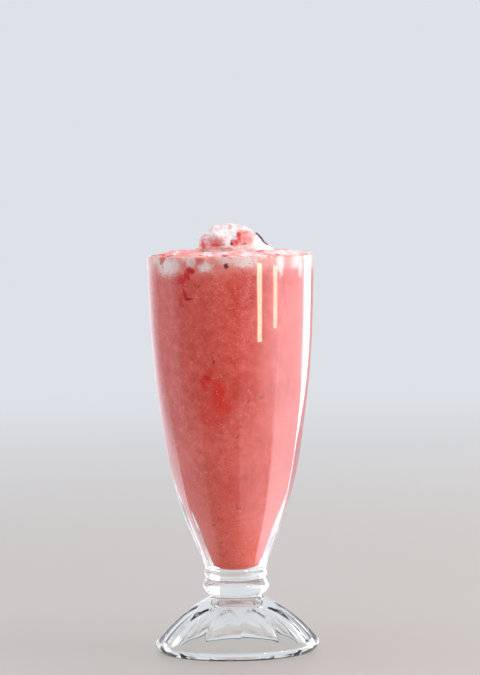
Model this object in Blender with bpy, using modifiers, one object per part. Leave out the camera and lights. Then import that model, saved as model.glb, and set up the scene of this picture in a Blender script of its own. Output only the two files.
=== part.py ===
"""Strawberry smoothie in a footed, panelled soda glass, topped with froth and a scoop of ice cream.

Metres, +Z up. The origin is the middle of the foot, on the table. The glass is one solid of
revolution with shallow panels pressed into its bowl and foot. The drink fills it to the froth,
the froth fills it to the rim, and the scoop and a curl of leaf lie on the froth.
"""

import math

import bmesh
import bpy
from mathutils import Matrix, Vector

MM = 0.001

# Driving dimensions of the glass
GLASS_HEIGHT = 200.0 * MM
RIM_RADIUS = 41.8 * MM
RIM_WALL = 2.0 * MM
FOOT_RADIUS = 41.2 * MM
REST_RADIUS = 39.0 * MM
REST_WIDTH = 2.6 * MM
KNOB_RADIUS = 16.7 * MM
NECK_RADIUS = 12.4 * MM
KNOB_TOP = 40.4 * MM
KNOB_BOTTOM = 28.0 * MM
CAVITY_BOTTOM = 41.6 * MM
HOLLOW_TOP = 24.2 * MM

# Panels pressed into the glass
PANELS = 12
PANEL_TURN = math.radians(4.0)
SIDES = 4 * PANELS
FOOT_PANEL_DEPTH = 1.1
BOWL_PANEL_DEPTH = 1.0
ARCH_TOP = 23.5 * MM
ARCH_DROP = 4.5 * MM

# Bowl, as radius and height below the rim's curve, outside and inside
BOWL_OUTSIDE = (
    (RIM_RADIUS, 197.6 * MM),
    (41.3 * MM, 180.0 * MM),
    (40.3 * MM, 158.0 * MM),
    (38.4 * MM, 135.0 * MM),
    (35.8 * MM, 115.0 * MM),
    (32.7 * MM, 96.0 * MM),
    (29.1 * MM, 80.0 * MM),
    (24.7 * MM, 66.0 * MM),
    (19.4 * MM, 53.0 * MM),
    (15.7 * MM, 43.5 * MM),
)
BOWL_INSIDE = (
    (7.6 * MM, 46.0 * MM),
    (10.6 * MM, 55.0 * MM),
    (13.5 * MM, 66.0 * MM),
    (18.8 * MM, 79.0 * MM),
    (25.8 * MM, 95.0 * MM),
    (30.9 * MM, 112.0 * MM),
    (34.6 * MM, 134.0 * MM),
    (37.2 * MM, 158.0 * MM),
    (38.7 * MM, 180.0 * MM),
    (RIM_RADIUS - RIM_WALL, 198.0 * MM),
)
# Dome of the foot from the neck out to the bead, and the hollow below it
DOME = (
    (14.2 * MM, 26.9 * MM),
    (19.0 * MM, 24.2 * MM),
    (25.5 * MM, 20.0 * MM),
    (32.4 * MM, 14.2 * MM),
    (37.0 * MM, 9.4 * MM),
    (39.6 * MM, 6.4 * MM),
)
HOLLOW = (
    (35.6 * MM, 2.6 * MM),
    (31.2 * MM, 8.6 * MM),
    (24.6 * MM, 14.6 * MM),
    (16.4 * MM, 19.6 * MM),
    (8.0 * MM, 23.0 * MM),
)

# Contents
GAP = 0.3 * MM
FROTH_EDGE = 199.0 * MM
SEAT_HEIGHT = 201.2 * MM
SEAT_RADIUS = 22.0 * MM
# Depth of the froth below the rim round the glass, by the angle from the front
FROTH_DEPTHS = (
    (-180.0, 8.0 * MM),
    (-140.0, 5.0 * MM),
    (-100.0, 10.0 * MM),
    (-78.0, 7.5 * MM),
    (-52.0, 11.5 * MM),
    (-30.0, 6.0 * MM),
    (-18.0, 9.5 * MM),
    (4.0, 5.2 * MM),
    (39.0, 10.4 * MM),
    (47.0, 7.0 * MM),
    (57.0, 9.0 * MM),
    (90.0, 6.0 * MM),
    (130.0, 10.5 * MM),
)
SCOOP_CENTRE = Vector((0.4 * MM, 0.0, SEAT_HEIGHT + GAP))
SCOOP_RADIUS = 16.6 * MM
SCOOP_HEIGHT = 13.4 * MM
LEAF_WIDTH = 4.0 * MM
LEAF_THICKNESS = 0.5 * MM
LEAF_TURN = math.radians(9.0)
LEAF_TOP = math.radians(40.0)
LEAF_FOOT = math.radians(11.0)


def curve_through(points, steps):
    """Returns points along a smooth curve through the given (radius, height) points."""
    ends = [points[0], *points, points[-1]]
    line = []
    for a, b, c, d in zip(ends, ends[1:], ends[2:], ends[3:]):
        for step in range(steps):
            t = step / steps
            line.append(tuple(
                0.5 * (2 * q + (r - p) * t + (2 * p - 5 * q + 4 * r - s) * t ** 2
                       + (3 * q - p - 3 * r + s) * t ** 3)
                for p, q, r, s in zip(a, b, c, d)
            ))
    line.append(points[-1])
    return line


def arc(centre, radius, start, end, steps):
    """Returns points on a circle's arc, from one angle in degrees to another."""
    angles = [math.radians(start + (end - start) * i / steps) for i in range(steps + 1)]
    return [(centre[0] + radius * math.cos(a), centre[1] + radius * math.sin(a)) for a in angles]


def between(line, height):
    """Returns the radius that a rising (radius, height) line has at a height."""
    for (r0, z0), (r1, z1) in zip(line, line[1:]):
        if z0 <= height <= z1:
            return r0 + (r1 - r0) * (height - z0) / (z1 - z0)
    return line[-1][0] if height > line[-1][1] else line[0][0]


def ease(value, low, high):
    """Returns a smooth step from 0 at low to 1 at high."""
    t = min(max((value - low) / (high - low), 0.0), 1.0)
    return t * t * (3.0 - 2.0 * t)


INSIDE_LINE = [
    (0.0, CAVITY_BOTTOM),
    (3.6 * MM, CAVITY_BOTTOM + 0.5 * MM),
    (6.4 * MM, CAVITY_BOTTOM + 2.0 * MM),
    *curve_through(BOWL_INSIDE, 1),
]


def froth_floor(x, y):
    """Returns the height at which the froth meets the drink."""
    angle = math.degrees(math.atan2(x, -y))
    ring = [*FROTH_DEPTHS, (FROTH_DEPTHS[0][0] + 360.0, FROTH_DEPTHS[0][1])]
    for (a0, d0), (a1, d1) in zip(ring, ring[1:]):
        if a0 <= angle <= a1:
            depth = d0 + (d1 - d0) * ease(angle, a0, a1)
    middle = 8.0 * MM
    out = math.hypot(x, y) / RIM_RADIUS
    return GLASS_HEIGHT - (middle + (depth - middle) * out * out)


def froth_top(x, y):
    """Returns the height of the froth's top, flat where the scoop sits and lumpy round it."""
    radius = math.hypot(x, y)
    outside = ease(radius, SEAT_RADIUS, 0.7 * SEAT_RADIUS + 0.3 * RIM_RADIUS)
    fall = (SEAT_HEIGHT - FROTH_EDGE) * ease(radius, SEAT_RADIUS, RIM_RADIUS - RIM_WALL)
    lumps = 0.5 * MM + 0.45 * MM * math.sin(170.0 * x + 1.0) * math.sin(150.0 * y + 0.4)
    lumps += 0.35 * MM * math.sin(410.0 * x - 260.0 * y)
    return SEAT_HEIGHT - fall + lumps * outside * (1.0 - (radius / RIM_RADIUS) ** 6)


def material(name, colour, roughness):
    """Returns a Principled material."""
    made = bpy.data.materials.new(name)
    made.use_nodes = True
    shader = made.node_tree.nodes["Principled BSDF"]
    shader.inputs["Base Color"].default_value = (*colour, 1.0)
    shader.inputs["Roughness"].default_value = roughness
    shader.inputs["Metallic"].default_value = 0.0
    return made


def add_object(name, mesh, made, collection):
    """Adds a mesh to the collection as a smooth object of one material."""
    mesh.materials.append(made)
    mesh.shade_smooth()
    mesh.set_sharp_from_angle(angle=math.radians(35.0))
    added = bpy.data.objects.new(name, mesh)
    collection.objects.link(added)
    return added


def turned_mesh(name, profile, collection):
    """Turns a (radius, height) profile round Z with a Screw modifier and returns the mesh."""
    line = bpy.data.meshes.new(name + "_profile")
    count = len(profile)
    line.from_pydata([(r, 0.0, z) for r, z in profile], [(i, i + 1) for i in range(count - 1)], [])
    holder = bpy.data.objects.new(name + "_profile", line)
    collection.objects.link(holder)
    screw = holder.modifiers.new("Turn", "SCREW")
    screw.steps = SIDES
    screw.render_steps = SIDES
    screw.use_merge_vertices = True
    screw.merge_threshold = 0.00001
    graph = bpy.context.evaluated_depsgraph_get()
    mesh = bpy.data.meshes.new_from_object(holder.evaluated_get(graph))
    bpy.data.objects.remove(holder)
    bpy.data.meshes.remove(line)
    mesh.name = name
    mesh.transform(Matrix.Rotation(PANEL_TURN, 4, "Z"))
    return mesh


def glass_profile():
    """Returns the glass's section, up the inside, over the lip and down the outside."""
    inside = list(INSIDE_LINE)
    lip_radius = RIM_WALL / 2.0
    lip = arc((RIM_RADIUS - lip_radius, GLASS_HEIGHT - lip_radius), lip_radius, 180.0, 0.0, 4)
    outside = curve_through(BOWL_OUTSIDE, 1)
    knob = [
        (15.6 * MM, KNOB_TOP),
        (15.7 * MM, 38.4 * MM),
        (15.2 * MM, 37.4 * MM),
        (16.3 * MM, 35.8 * MM),
        (KNOB_RADIUS, 33.6 * MM),
        (16.1 * MM, 31.4 * MM),
        (14.5 * MM, 29.4 * MM),
        (NECK_RADIUS, KNOB_BOTTOM),
    ]
    dome = curve_through(DOME, 2)
    bead_radius = 2.4 * MM
    bead = arc((FOOT_RADIUS - bead_radius, 3.4 * MM), bead_radius, 40.0, -60.0, 4)
    rest = [(REST_RADIUS, 0.0), (REST_RADIUS - REST_WIDTH, 0.0)]
    hollow = [*curve_through(HOLLOW, 1), (0.0, HOLLOW_TOP)]
    return inside + lip + outside + knob + dome + bead + rest + hollow, outside, dome


def press_panels(mesh, outside, dome):
    """Moves the outer vertices inwards, to flat panels that end in arches on the foot."""
    width = 2.0 * math.pi / PANELS
    for vertex in mesh.vertices:
        x, y, z = vertex.co
        radius = math.hypot(x, y)
        on_bowl = any(abs(radius - r) + abs(z - h) < 0.01 * MM for r, h in outside)
        on_dome = any(abs(radius - r) + abs(z - h) < 0.01 * MM for r, h in dome)
        if not (on_bowl or on_dome):
            continue
        angle = math.atan2(x, -y) - PANEL_TURN
        across = (angle / width) % 1.0 - 0.5
        flat = math.cos(width / 2.0) / math.cos(across * width)
        if on_dome:
            top = ARCH_TOP - ARCH_DROP * (2.0 * across) ** 2
            share = FOOT_PANEL_DEPTH * (1.0 - ease(z, top - 3.0 * MM, top))
        else:
            share = BOWL_PANEL_DEPTH * (1.0 - ease(z, 85.0 * MM, 155.0 * MM)) * ease(z, 43.0 * MM, 50.0 * MM)
        scale = 1.0 + (flat - 1.0) * share
        vertex.co.x = x * scale
        vertex.co.y = y * scale


def build_glass(collection):
    """Makes the glass, one solid with a deep bowl and a hollow under its foot."""
    profile, outside, dome = glass_profile()
    mesh = turned_mesh("glass", profile, collection)
    press_panels(mesh, outside, dome)
    add_object("glass", mesh, material("clear glass", (0.92, 0.95, 0.96), 0.03), collection)


def inner_radius(height):
    """Returns how far the contents reach at a height, a gap away from the wall."""
    return between(INSIDE_LINE, height) - GAP


def build_smoothie(collection):
    """Makes the drink, from the bottom of the bowl to the uneven underside of the froth."""
    top = GLASS_HEIGHT - 12.0 * MM
    rings = (0.0, 9.0 * MM, 18.0 * MM, 26.0 * MM, 33.0 * MM)
    surface = [(r, top) for r in rings]
    wall = [(r, z) for r, z in reversed(INSIDE_LINE) if CAVITY_BOTTOM + MM < z < top - 4.0 * MM]
    side = [(r - GAP, z + GAP) for r, z in wall]
    profile = surface + [(inner_radius(top), top)] + side + [(0.0, CAVITY_BOTTOM + 2.0 * GAP)]
    mesh = turned_mesh("smoothie", profile, collection)
    for vertex in mesh.vertices:
        x, y, z = vertex.co
        if z > top - 0.01 * MM:
            vertex.co.z = froth_floor(x, y) - GAP
    add_object("smoothie", mesh, material("strawberry smoothie", (0.66, 0.12, 0.10), 0.45), collection)


def build_froth(collection):
    """Makes the froth, which fills the glass from the drink to just over the rim."""
    low, high = GLASS_HEIGHT - 12.0 * MM, GLASS_HEIGHT
    top_rings = (0.0, SEAT_RADIUS, 25.0 * MM, 29.0 * MM, 34.0 * MM)
    floor_rings = (33.0 * MM, 26.0 * MM, 18.0 * MM, 9.0 * MM, 0.0)
    edge = inner_radius(high - 2.0 * MM)
    profile = [(r, high) for r in top_rings] + [(edge, high), (edge, low)]
    profile += [(r, low) for r in floor_rings]
    mesh = turned_mesh("froth", profile, collection)
    for vertex in mesh.vertices:
        x, y, z = vertex.co
        vertex.co.z = froth_top(x, y) if z > (low + high) / 2.0 else froth_floor(x, y)
        radius = math.hypot(x, y)
        if radius > edge - 0.01 * MM:
            shrink = inner_radius(min(vertex.co.z, 197.5 * MM)) / radius
            vertex.co.x = x * shrink
            vertex.co.y = y * shrink
    add_object("froth", mesh, material("milk froth", (0.85, 0.55, 0.52), 0.6), collection)


def scoop_relief(direction):
    """Returns the factor that makes the scoop uneven, by the direction from its middle."""
    x, y, z = direction
    lumps = 0.035 * math.sin(5.0 * x + 2.0) * math.sin(4.0 * y + 1.0)
    lumps += 0.025 * math.sin(9.0 * x + 7.0 * z) + 0.02 * math.sin(11.0 * y - 6.0 * z + 1.5)
    shoulder = 0.11 * math.exp(-((x + 0.62) ** 2 + (z - 0.75) ** 2) / 0.12)
    skirt = 0.3 * max(x, 0.0) ** 3 * math.exp(-(z / 0.16) ** 2)
    return 1.0 + lumps + shoulder + skirt


def scoop_place(direction):
    """Returns the point of the scoop's surface that lies in a direction, flat below the middle."""
    factor = scoop_relief(direction)
    rise = max(direction.z, 0.0) * SCOOP_HEIGHT * (1.0 + 0.6 * (factor - 1.0))
    reach = SCOOP_RADIUS * factor
    return SCOOP_CENTRE + Vector((direction.x * reach, direction.y * reach, rise))


def build_scoop(collection):
    """Makes the scoop of ice cream, an uneven dome seated in the froth."""
    made = bmesh.new()
    bmesh.ops.create_uvsphere(made, u_segments=36, v_segments=20, radius=1.0)
    for vertex in made.verts:
        vertex.co = scoop_place(vertex.co.normalized())
    bmesh.ops.recalc_face_normals(made, faces=made.faces)
    mesh = bpy.data.meshes.new("scoop")
    made.to_mesh(mesh)
    made.free()
    add_object("scoop", mesh, material("ice cream", (0.90, 0.80, 0.72), 0.5), collection)


def build_leaf(collection):
    """Makes the curl of leaf that leans on the scoop's right side."""
    made = bmesh.new()
    bmesh.ops.create_grid(made, x_segments=8, y_segments=3, size=0.5)
    for vertex in made.verts:
        t = vertex.co.x + 0.5
        width = LEAF_WIDTH * (0.2 + 0.8 * math.sin(math.pi * (0.06 + 0.88 * t)))
        turn = LEAF_TURN + vertex.co.y * width / SCOOP_RADIUS
        tilt = LEAF_TOP + (LEAF_FOOT - LEAF_TOP) * t
        level = math.cos(tilt)
        direction = Vector((level * math.cos(turn), level * math.sin(turn), math.sin(tilt)))
        wave = 0.2 * MM * (1.0 + math.sin(7.0 * t + 4.0 * vertex.co.y))
        lift = GAP + LEAF_THICKNESS + wave
        vertex.co = scoop_place(direction) + direction * lift
    bmesh.ops.triangulate(made, faces=made.faces)
    mesh = bpy.data.meshes.new("leaf")
    made.to_mesh(mesh)
    made.free()
    leaf = add_object("leaf", mesh, material("dark leaf", (0.10, 0.05, 0.06), 0.5), collection)
    wall = leaf.modifiers.new("Thickness", "SOLIDIFY")
    wall.thickness = LEAF_THICKNESS
    wall.offset = 0.0


def main():
    """Clears the scene and builds the drink in its glass."""
    for old in list(bpy.data.objects):
        bpy.data.objects.remove(old)
    collection = bpy.data.collections.new("strawberry_smoothie")
    bpy.context.scene.collection.children.link(collection)
    build_glass(collection)
    build_smoothie(collection)
    build_froth(collection)
    build_scoop(collection)
    build_leaf(collection)


main()
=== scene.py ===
"""Strawberry smoothie in a footed soda glass: the finished surfaces, the studio and the camera."""
import logging
import math
from dataclasses import dataclass, field, replace
from enum import Enum

import bmesh
import bpy
from mathutils import Matrix, Vector, noise


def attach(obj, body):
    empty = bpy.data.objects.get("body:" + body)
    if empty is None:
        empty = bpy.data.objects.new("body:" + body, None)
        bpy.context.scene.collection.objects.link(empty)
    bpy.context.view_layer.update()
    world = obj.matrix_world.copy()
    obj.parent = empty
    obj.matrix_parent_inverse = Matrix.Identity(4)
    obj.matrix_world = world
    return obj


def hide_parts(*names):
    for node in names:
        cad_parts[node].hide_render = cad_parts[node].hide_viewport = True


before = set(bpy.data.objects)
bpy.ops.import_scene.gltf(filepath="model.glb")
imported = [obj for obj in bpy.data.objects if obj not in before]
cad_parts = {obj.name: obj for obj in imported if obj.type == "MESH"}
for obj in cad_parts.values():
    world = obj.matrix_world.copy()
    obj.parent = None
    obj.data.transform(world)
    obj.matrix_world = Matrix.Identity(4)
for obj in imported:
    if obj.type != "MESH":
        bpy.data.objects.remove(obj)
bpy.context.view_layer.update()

log = logging.getLogger("smoothie")

MM = 0.001

# Sizes shared by the glass and what fills it
HEIGHT = 200.0 * MM
RIM_RADIUS = 41.8 * MM
RIM_WALL = 2.0 * MM
CAVITY_BOTTOM = 41.6 * MM
INTO_WALL = 0.16 * MM
PANELS = 12
PANEL_TURN = math.radians(4.0)
SEAT_HEIGHT = 201.2 * MM
SEAT_RADIUS = 22.0 * MM
FROTH_REACH = 12.0 * MM
FROTH_MIDDLE = 8.0 * MM

Point = tuple[float, float]
Triple = tuple[float, float, float]
Colour = tuple[float, float, float, float]
Socket = bpy.types.NodeSocket
Tree = bpy.types.NodeTree
Material = bpy.types.Material
Piece = bpy.types.Object
Mesh = bmesh.types.BMesh


def tone(red: float, green: float, blue: float) -> Colour:
    """Turns a screen colour into a linear one.

    Args:
        red, green, blue: the screen colour, from 0 to 255.

    Returns:
        The linear colour with an alpha of 1.
    """
    linear = []
    for part in (red, green, blue):
        share = part / 255.0
        linear.append(share / 12.92 if share <= 0.04045 else ((share + 0.055) / 1.055) ** 2.4)
    return (linear[0], linear[1], linear[2], 1.0)


def ease(value: float, low: float, high: float) -> float:
    """Returns a smooth step from 0 at low to 1 at high."""
    share = min(max((value - low) / (high - low), 0.0), 1.0)
    return share * share * (3.0 - 2.0 * share)


def curve_through(points: tuple[Point, ...], steps: int) -> list[Point]:
    """Follows a smooth curve through points.

    Args:
        points: the (radius, height) points that the curve passes.
        steps: how many stretches it takes from one point to the next.

    Returns:
        The points along the curve, with both ends.
    """
    ends = [points[0], *points, points[-1]]
    line = []
    for a, b, c, d in zip(ends, ends[1:], ends[2:], ends[3:]):
        for step in range(steps):
            t = step / steps
            line.append(tuple(
                0.5 * (2 * q + (r - p) * t + (2 * p - 5 * q + 4 * r - s) * t ** 2
                       + (3 * q - p - 3 * r + s) * t ** 3)
                for p, q, r, s in zip(a, b, c, d)
            ))
    line.append(points[-1])
    return line


def arc(centre: Point, radius: float, start: float, end: float, steps: int) -> list[Point]:
    """Returns points on a circle's arc, from one angle in degrees to another."""
    angles = [math.radians(start + (end - start) * i / steps) for i in range(steps + 1)]
    return [(centre[0] + radius * math.cos(a), centre[1] + radius * math.sin(a)) for a in angles]


def radius_at(line: list[Point], height: float) -> float:
    """Finds how wide a rising line is at a height.

    Args:
        line: (radius, height) points.
        height: the height in metres.

    Returns:
        The radius in metres.
    """
    for (r0, z0), (r1, z1) in zip(line, line[1:]):
        if z0 <= height <= z1 and z1 > z0:
            return r0 + (r1 - r0) * (height - z0) / (z1 - z0)
    return line[-1][0] if height > line[-1][1] else line[0][0]


def in_mm(*points: Point) -> tuple[Point, ...]:
    """Turns (radius, height) points from millimetres into metres."""
    return tuple((radius * MM, height * MM) for radius, height in points)


BOWL_INSIDE = (
    (0.0, CAVITY_BOTTOM), (4.2 * MM, CAVITY_BOTTOM + 0.8 * MM),
    *in_mm(
        (7.6, 46.0), (10.6, 55.0), (13.5, 66.0), (18.8, 79.0), (25.8, 95.0), (30.9, 112.0), (34.6, 134.0),
        (37.2, 158.0), (38.7, 180.0),
    ),
    (RIM_RADIUS - RIM_WALL, 198.0 * MM),
)
BOWL_LINE = curve_through(BOWL_INSIDE, 10)

# Depth of the froth below the rim in millimetres, by the angle from the front round to the back
FROTH_DEPTHS = tuple((angle, depth * MM) for angle, depth in (
    (-180.0, 8.0), (-140.0, 5.0), (-100.0, 10.0), (-78.0, 7.5), (-52.0, 11.5), (-30.0, 6.0), (-18.0, 9.5),
    (4.0, 5.2), (39.0, 10.4), (47.0, 7.0), (57.0, 9.0), (90.0, 6.0), (130.0, 10.5), (180.0, 8.0),
))


def froth_floor(x: float, y: float) -> float:
    """Finds where the froth meets the drink.

    Args:
        x, y: the place, in metres from the axis.

    Returns:
        The height in metres.
    """
    angle = math.degrees(math.atan2(x, -y))
    depth = FROTH_MIDDLE
    for (a0, d0), (a1, d1) in zip(FROTH_DEPTHS, FROTH_DEPTHS[1:]):
        if a0 <= angle <= a1:
            depth = d0 + (d1 - d0) * ease(angle, a0, a1)
    out = math.hypot(x, y) / RIM_RADIUS
    return HEIGHT - (FROTH_MIDDLE + (depth - FROTH_MIDDLE) * out * out)


# Patches of colour in the food
@dataclass(frozen=True)
class Mark:
    """One soft-edged patch of colour, as an ellipsoid in millimetres."""

    centre: Triple
    size: Triple
    strength: float = 1.0
    soft: float = 0.45


def on_wall(
    angle: float, height: float, wide: float, tall: float, strength: float = 1.0, soft: float = 0.45,
) -> Mark:
    """Places a patch on the bowl's inner wall.

    Args:
        angle: degrees from the front towards the right.
        height: millimetres above the table.
        wide, tall: the patch's half sizes along the wall and upwards.
        strength: how much of its colour shows.
        soft: how wide its faded edge is, as a share of its size.

    Returns:
        The patch.
    """
    radius = radius_at(BOWL_LINE, height * MM) / MM
    turn = math.radians(angle)
    centre = (radius * math.sin(turn), -radius * math.cos(turn), height)
    return Mark(centre, (wide, wide, tall), strength, soft)


def on_scoop(
    x: float, height: float, wide: float, tall: float, strength: float = 1.0, soft: float = 0.5,
    back: bool = False,
) -> Mark:
    """Places a patch on the front or the back of the scoop.

    Args:
        x: millimetres across from the glass's axis.
        height, wide, tall, strength, soft: as for on_wall.
        back: whether it lies on the side away from the camera.

    Returns:
        The patch.
    """
    depth = 10.0 if back else -10.0
    return Mark((x, depth, height), (wide, 10.5, tall), strength, soft)


# Each row holds the values of on_wall or on_scoop in their order
CREAM_MARKS = tuple(on_wall(*row) for row in (
    (-50.0, 195.2, 7.8, 4.4), (-64.0, 198.2, 4.0, 2.4, 0.9), (-33.5, 200.0, 2.8, 2.4, 0.6),
    (-28.8, 198.2, 2.9, 2.5, 0.9), (-18.0, 195.6, 3.6, 2.7, 0.95), (-8.0, 200.8, 2.8, 2.2, 0.75),
    (-1.5, 198.4, 4.0, 2.0, 0.85), (8.5, 197.8, 4.2, 2.7, 0.95), (14.5, 199.0, 3.2, 3.4),
    (24.0, 201.2, 9.0, 2.2, 0.9), (37.6, 197.0, 2.2, 4.0), (38.3, 192.5, 1.3, 3.0, 0.9),
    (54.0, 197.0, 4.2, 3.8), (58.0, 192.5, 2.0, 3.6, 0.9), (80.0, 196.0, 7.0, 3.2),
    (101.0, 193.5, 4.4, 3.8), (134.0, 193.0, 7.0, 4.6), (170.0, 196.0, 6.0, 3.4),
    (-84.0, 196.4, 4.0, 3.0, 0.9), (-106.0, 194.0, 5.6, 4.2), (-148.0, 196.4, 7.0, 3.0),
))
RED_MARKS = tuple(on_wall(*row) for row in (
    (-80.0, 197.6, 2.4, 2.8, 0.8), (-56.0, 199.6, 2.8, 1.6, 0.95), (-55.9, 197.6, 1.3, 1.7, 0.95),
    (-29.4, 193.4, 2.5, 2.0, 1.0, 0.25), (-32.6, 190.8, 1.7, 1.7, 1.0, 0.25),
    (-36.8, 188.4, 2.5, 1.8, 1.0, 0.25), (-35.1, 185.6, 1.2, 1.8, 0.65), (-34.6, 182.2, 1.3, 2.4, 1.0, 0.3),
    (-31.2, 179.7, 3.6, 0.9, 1.0, 0.3), (-38.2, 177.6, 1.5, 2.0, 0.7), (-2.0, 200.8, 2.4, 1.7, 0.9),
    (-14.8, 200.4, 2.4, 1.2, 0.6), (-22.0, 198.4, 2.2, 2.6, 0.5), (40.6, 191.6, 1.6, 2.4, 0.5),
    (40.6, 184.6, 1.7, 5.4, 0.45), (51.0, 187.4, 4.6, 5.4, 0.3, 0.5), (38.6, 97.8, 1.8, 0.35, 0.8, 0.3),
    (43.0, 98.8, 1.8, 0.35, 0.8, 0.3), (120.0, 197.0, 3.0, 2.0), (-130.0, 194.0, 2.6, 3.6),
    (150.0, 187.0, 2.0, 5.0, 0.9),
))
BERRY_MARKS = tuple(on_wall(*row) for row in (
    (-21.4, 138.2, 2.1, 4.4), (-18.0, 142.8, 1.4, 2.4, 0.7), (-14.0, 138.6, 3.4, 1.5, 0.75),
    (-11.4, 131.0, 3.6, 8.4), (-7.0, 126.6, 3.4, 4.6, 0.7), (-16.4, 122.8, 7.2, 8.4, 0.55, 0.3),
    (105.0, 150.0, 3.4, 8.0, 0.9), (-128.0, 118.0, 3.0, 6.5, 0.9), (165.0, 132.0, 4.4, 5.0, 0.8),
))
DARK_MARKS = tuple(on_wall(*row) for row in (
    (-2.8, 195.7, 1.5, 1.5, 0.95, 0.3), (5.2, 194.6, 0.5, 0.6, 0.6), (18.4, 189.8, 0.6, 0.7, 0.6),
    (-29.4, 193.6, 1.4, 1.1, 0.55, 0.35), (-31.0, 179.7, 2.4, 0.5, 0.7, 0.35),
    (-37.4, 187.6, 0.8, 0.5, 0.45, 0.3), (-34.5, 181.4, 0.9, 1.5, 0.3), (-19.6, 140.0, 1.8, 1.2, 0.35),
    (-13.5, 148.2, 0.6, 0.7, 0.7), (-9.7, 151.7, 0.7, 1.0, 0.45), (12.5, 128.5, 0.8, 0.7, 0.5),
    (24.0, 130.5, 1.1, 0.8, 0.35), (-112.0, 188.0, 1.1, 1.0, 0.8), (70.0, 175.0, 0.9, 1.1, 0.7),
))
SCOOP_PINKS = tuple(on_scoop(*row) for row in (
    (7.6, 207.7, 4.2, 3.4), (10.4, 209.4, 2.8, 2.6, 0.8), (-14.6, 207.5, 2.8, 5.8, 0.75),
    (-7.6, 213.3, 4.6, 1.0, 0.55), (-8.0, 206.4, 5.2, 2.6, 0.65), (-6.5, 203.5, 8.0, 0.8, 0.85),
    (2.5, 203.2, 5.0, 0.9, 0.6), (5.4, 214.2, 2.6, 0.8, 0.5), (0.5, 208.5, 6.5, 3.8, 0.9, 0.5, True),
    (-11.0, 205.5, 3.5, 3.0, 0.8, 0.5, True), (11.0, 204.6, 4.0, 1.6, 0.7, 0.5, True),
))
SCOOP_REDS = tuple(on_scoop(*row) for row in (
    (6.2, 211.2, 3.4, 1.0, 0.75), (4.3, 209.2, 1.3, 2.8), (2.4, 206.1, 2.6, 1.7),
    (6.4, 205.2, 2.2, 0.8, 0.4), (-6.7, 206.9, 3.2, 1.7, 0.4), (-6.3, 205.3, 3.8, 0.8, 0.95),
    (-13.0, 205.2, 1.1, 2.9, 0.7), (-0.1, 214.3, 1.2, 0.9, 0.7), (-0.8, 203.2, 1.2, 0.7, 0.8),
    (2.0, 210.0, 3.2, 1.3, 0.9, 0.5, True), (-3.5, 206.5, 1.6, 2.8, 0.9, 0.5, True),
    (9.0, 206.0, 1.4, 2.0, 0.8, 0.5, True),
))
SCOOP_DARKS = tuple(on_scoop(*row) for row in (
    (0.7, 205.8, 0.8, 0.6, 0.9, 0.3), (6.9, 205.2, 1.5, 0.6, 0.3),
))


# Building helpers
def spun(section: list[Point], steps: int, tags: list[int] | None = None) -> Mesh:
    """Spins a section round Z into a closed mesh with its faces outwards.

    Args:
        section: (radius, height) points, both ends on the axis.
        steps: how many faces go round.
        tags: a number for each point, kept in the vertex layer "region".

    Returns:
        The mesh, with its doubles on the axis merged.
    """
    made = bmesh.new()
    layer = made.verts.layers.int.new("region")
    row = []
    for index, (radius, height) in enumerate(section):
        vertex = made.verts.new((0.0, -radius, height))
        vertex[layer] = tags[index] if tags else 0
        row.append(vertex)
    edges = [made.edges.new(pair) for pair in zip(row, row[1:])]
    bmesh.ops.spin(
        made, geom=row + edges, cent=(0.0, 0.0, 0.0), axis=(0.0, 0.0, 1.0), dvec=(0.0, 0.0, 0.0),
        angle=2.0 * math.pi, steps=steps, use_merge=True, use_duplicate=False,
    )
    bmesh.ops.remove_doubles(made, verts=made.verts, dist=0.000005)
    bmesh.ops.recalc_face_normals(made, faces=made.faces)
    return made


def to_object(made: Mesh, name: str, finish: Material, smooth: bool = True) -> Piece:
    """Turns a bmesh into an object of the scene with one material.

    Args:
        made: the mesh, which is freed.
        name: the piece's name.
        finish: its material.
        smooth: whether it is shaded smooth.

    Returns:
        The object, at the origin.
    """
    mesh = bpy.data.meshes.new(name)
    made.to_mesh(mesh)
    made.free()
    mesh.materials.append(finish)
    if smooth:
        mesh.shade_smooth()
    piece = bpy.data.objects.new(name, mesh)
    bpy.context.scene.collection.objects.link(piece)
    return piece


def place(piece: Piece, slot: str, node: str | None = None) -> None:
    """Lets a piece ride with the drink, and says what it stands for.

    Args:
        piece: the finished object.
        slot: the record's material slot.
        node: the solid that it replaces, if any.
    """
    if node:
        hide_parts(node)
    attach(piece, "root")
    log.info("%s: %d faces, slot %s", piece.name, len(piece.data.polygons), slot)


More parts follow.
